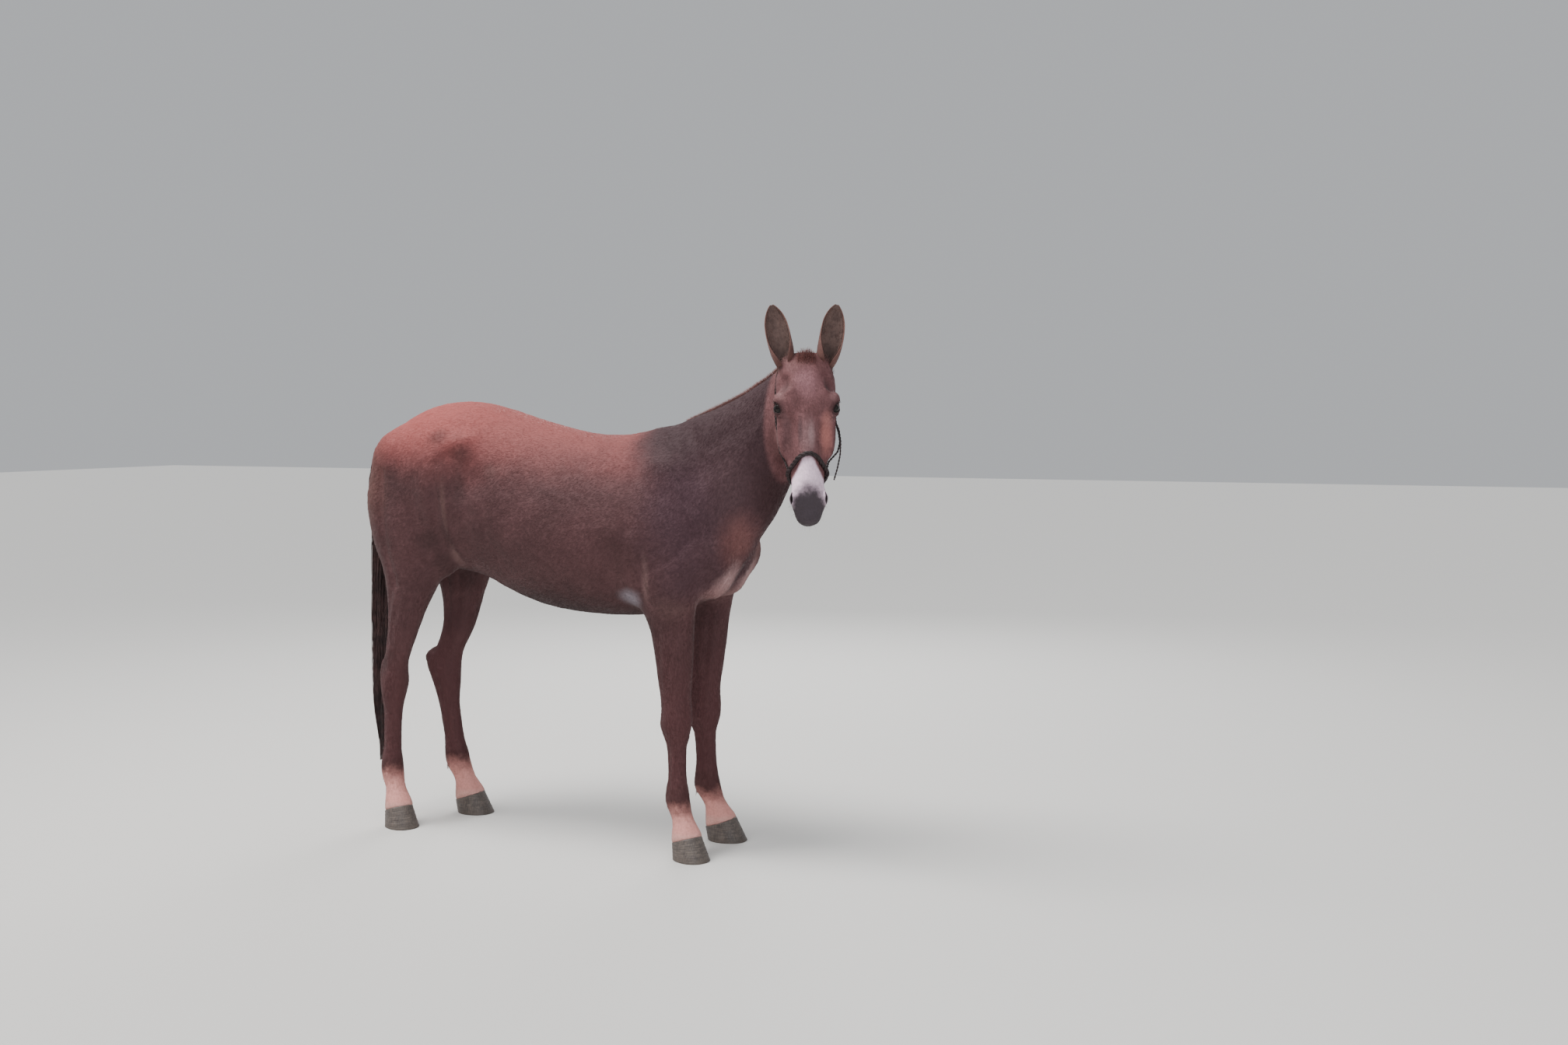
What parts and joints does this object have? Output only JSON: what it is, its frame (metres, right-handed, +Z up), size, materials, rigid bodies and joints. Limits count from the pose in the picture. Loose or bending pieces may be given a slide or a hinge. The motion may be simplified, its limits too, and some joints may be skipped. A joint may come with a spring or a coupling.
{
  "type": "mule",
  "caption": "Life-size standing mule, head turned over its right shoulder, in a rolled-noseband halter; a still museum model.",
  "frame": {"origin": "on the floor, under the middle of the whole animal", "axes": "+X towards the animal's front, +Y towards its left, +Z up; all four soles lie at Z = 0"},
  "size_m": [1.8742, 0.5264, 1.8262],
  "materials": {
    "coat": "short sorrel coat",
    "muzzle": "short sorrel coat with a pale muzzle",
    "hair": "coarse dark hair",
    "horn": "dull hoof horn",
    "eye": "wet gloss",
    "leather": "worn dark leather"
  },
  "bodies": {
    "root": {"head": "muzzle", "neck": "coat", "torso": "coat", "fore_leg_right": "coat", "fore_leg_left": "coat", "hind_leg_right": "coat", "hind_leg_left": "coat", "fore_hoof_right": "horn", "fore_hoof_left": "horn", "hind_hoof_right": "horn", "hind_hoof_left": "horn", "ear_right": "coat", "ear_left": "coat", "eye_right": "eye", "eye_left": "eye", "mane": "hair", "forelock": "hair", "tail": "hair", "halter": "leather"}
  },
  "joints": []
}
